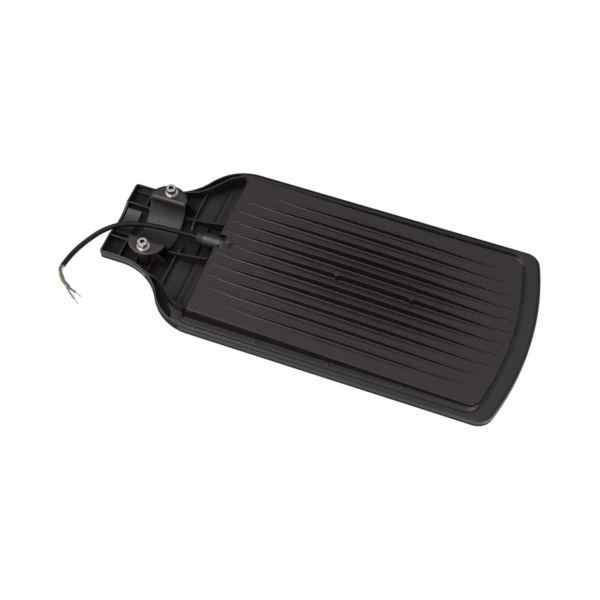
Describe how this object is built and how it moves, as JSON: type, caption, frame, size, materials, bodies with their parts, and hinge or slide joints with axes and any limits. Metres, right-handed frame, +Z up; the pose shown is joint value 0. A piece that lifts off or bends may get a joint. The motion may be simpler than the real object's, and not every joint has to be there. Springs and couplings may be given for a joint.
{
  "type": "led street light head",
  "caption": "Flat cast street light head with a crowned-fin heat sink back, ribbed neck, bolted pole clamp strap and a supply cable with bare cores.",
  "frame": {"origin": "under the middle of the housing, on the flat rim of the light side that it lies on", "axes": "+X from the pole clamp's neck to the crowned far end, +Z up out of the finned back, +Y across"},
  "size_m": [0.61, 0.2671, 0.0481],
  "materials": {
    "cast_body": "die-cast aluminium, warm charcoal powder coat, satin",
    "painted_strap": "pressed steel, dark grey paint, satin",
    "bright_steel": "stainless steel, turned and polished",
    "dark_screws": "steel, dark zinc finish",
    "gland_plastic": "glass-filled nylon, slight sheen",
    "seal_rubber": "black silicone rubber, matte",
    "cable_sheath": "black rubber sheath, soft sheen",
    "core_blue": "blue insulation",
    "core_brown": "brown insulation",
    "core_earth": "green and yellow striped insulation",
    "tinned_wire": "tinned copper strands",
    "lead_insulation": "white silicone insulation",
    "terminal_plastic": "white nylon",
    "driver_sheet": "bare aluminium sheet",
    "circuit_board": "green solder mask",
    "light_board": "aluminium board with white solder mask",
    "light_chip": "yellow phosphor",
    "clear_panel": "clear polycarbonate",
    "frame_aluminium": "satin aluminium"
  },
  "bodies": {
    "root": {"blue_bare_end": "tinned_wire", "blue_core": "core_blue", "brown_bare_end": "tinned_wire", "brown_core": "core_brown", "clamp_bolt_far": "bright_steel", "clamp_bolt_near": "bright_steel", "clamp_saddle": "painted_strap", "cover_gasket": "seal_rubber", "cover_screws": "dark_screws", "driver_board": "circuit_board", "driver_case": "driver_sheet", "driver_input_leads": "lead_insulation", "driver_lid": "driver_sheet", "driver_screws": "bright_steel", "earth_bare_end": "tinned_wire", "earth_core": "core_earth", "flat_washer_far": "bright_steel", "flat_washer_near": "bright_steel", "frame_screws": "bright_steel", "front_frame": "frame_aluminium", "gland_body": "gland_plastic", "gland_cap": "gland_plastic", "gland_lock_screw": "dark_screws", "gland_seal": "seal_rubber", "gland_washer": "seal_rubber", "heat_sink_cover": "cast_body", "housing": "cast_body", "lead_grommet": "seal_rubber", "led_board": "light_board", "led_chips": "light_chip", "led_leads": "lead_insulation", "lens_gasket": "seal_rubber", "lens_panel": "clear_panel", "spring_washer_far": "bright_steel", "spring_washer_near": "bright_steel", "supply_cable": "cable_sheath", "supply_cable_tail": "cable_sheath", "supply_leads": "lead_insulation", "terminal_block": "terminal_plastic", "threaded_insert_far": "bright_steel", "threaded_insert_near": "bright_steel"}
  },
  "joints": []
}
